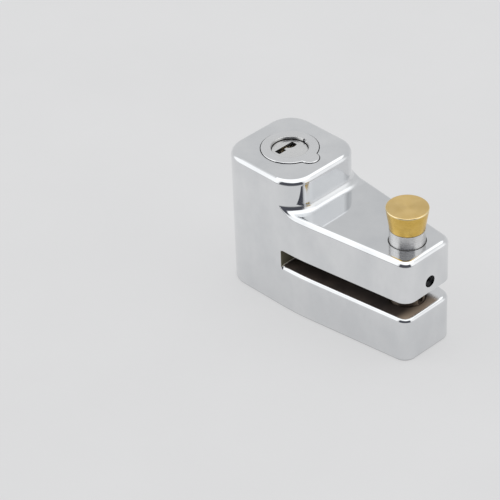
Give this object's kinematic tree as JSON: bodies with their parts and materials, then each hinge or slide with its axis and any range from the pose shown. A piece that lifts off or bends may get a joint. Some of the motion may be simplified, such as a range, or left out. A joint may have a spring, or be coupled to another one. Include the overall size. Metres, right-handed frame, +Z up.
{
  "type": "disc brake lock",
  "caption": "Motorcycle disc brake lock: chromed L-shaped casting with a disc slot, a key cylinder in its tower, a cam-driven bolt and a pull-out locking pin with a flared gold knob.",
  "frame": {"origin": "middle of the flat base, at the centre of the lock's plan box", "axes": "+Z up from the base, along the locking pin and the key cylinder; +X from the key tower towards the open end of the disc slot; +Y across the lock, to the left when looking along +X"},
  "size_m": [0.0796, 0.0334, 0.0524],
  "materials": {
    "chromed_casting": "mirror chrome plating on a polished zinc die casting",
    "cylinder_steel": "satin chrome, faintly turned",
    "plug_steel": "satin chrome, faintly turned",
    "pin_steel": "ground bright steel",
    "plain_steel": "machined steel",
    "spring_steel": "hard drawn spring steel",
    "blackened_steel": "black oxide",
    "gilt_brass": "polished gold-coloured plating on brass",
    "wafer_brass": "stamped brass",
    "seal_rubber": "black nitrile rubber"
  },
  "bodies": {
    "casting": {"lock_body": "chromed_casting", "cylinder_housing": "cylinder_steel", "housing_retaining_pin": "spring_steel", "bore_seal_ring": "seal_rubber", "travel_stop_screw": "blackened_steel"},
    "key_plug": {"cylinder_plug": "plug_steel", "plug_retaining_ring": "spring_steel", "drive_cam": "plain_steel", "wafer_spring_1": "spring_steel", "wafer_spring_2": "spring_steel", "wafer_spring_3": "spring_steel", "wafer_spring_4": "spring_steel", "wafer_spring_5": "spring_steel", "wafer_spring_6": "spring_steel"},
    "bolt": {"bolt_yoke": "plain_steel", "bolt_rod": "plain_steel"},
    "plunger": {"locking_pin": "pin_steel", "pull_knob": "gilt_brass"},
    "wafer_1": {"wafer_1": "wafer_brass"},
    "wafer_2": {"wafer_2": "wafer_brass"},
    "wafer_3": {"wafer_3": "wafer_brass"},
    "wafer_4": {"wafer_4": "wafer_brass"},
    "wafer_5": {"wafer_5": "wafer_brass"},
    "wafer_6": {"wafer_6": "wafer_brass"}
  },
  "joints": [
    {"name": "plunger_slide", "type": "slide", "parent": "casting", "child": "plunger", "axis": [0, 0, 1], "range_m": [0, 0.0102]},
    {"name": "key_turn", "type": "hinge", "parent": "casting", "child": "key_plug", "pos_m": [-0.02332, 0, 0.04], "axis": [0, 0, -1], "range_deg": [0, 90]},
    {"name": "bolt_slide", "type": "slide", "parent": "casting", "child": "bolt", "axis": [1, 0, 0], "range_m": [0, 0.00254]},
    {"name": "wafer_1_slide", "type": "slide", "parent": "key_plug", "child": "wafer_1", "axis": [0, 1, 0], "range_m": [0, 0.0006], "deforming": ["wafer_spring_1"]},
    {"name": "wafer_2_slide", "type": "slide", "parent": "key_plug", "child": "wafer_2", "axis": [0, -1, 0], "range_m": [0, 0.0006], "deforming": ["wafer_spring_2"]},
    {"name": "wafer_3_slide", "type": "slide", "parent": "key_plug", "child": "wafer_3", "axis": [0, 1, 0], "range_m": [0, 0.0006], "deforming": ["wafer_spring_3"]},
    {"name": "wafer_4_slide", "type": "slide", "parent": "key_plug", "child": "wafer_4", "axis": [0, -1, 0], "range_m": [0, 0.0006], "deforming": ["wafer_spring_4"]},
    {"name": "wafer_5_slide", "type": "slide", "parent": "key_plug", "child": "wafer_5", "axis": [0, 1, 0], "range_m": [0, 0.0006], "deforming": ["wafer_spring_5"]},
    {"name": "wafer_6_slide", "type": "slide", "parent": "key_plug", "child": "wafer_6", "axis": [0, -1, 0], "range_m": [0, 0.0006], "deforming": ["wafer_spring_6"]}
  ],
  "couplings": [
    {"joint": "key_turn", "follows": "bolt_slide", "rad_per_m": 617.07},
    {"joint": "wafer_2_slide", "follows": "wafer_1_slide", "ratio": 1},
    {"joint": "wafer_3_slide", "follows": "wafer_1_slide", "ratio": 1},
    {"joint": "wafer_4_slide", "follows": "wafer_1_slide", "ratio": 1},
    {"joint": "wafer_5_slide", "follows": "wafer_1_slide", "ratio": 1},
    {"joint": "wafer_6_slide", "follows": "wafer_1_slide", "ratio": 1}
  ]
}
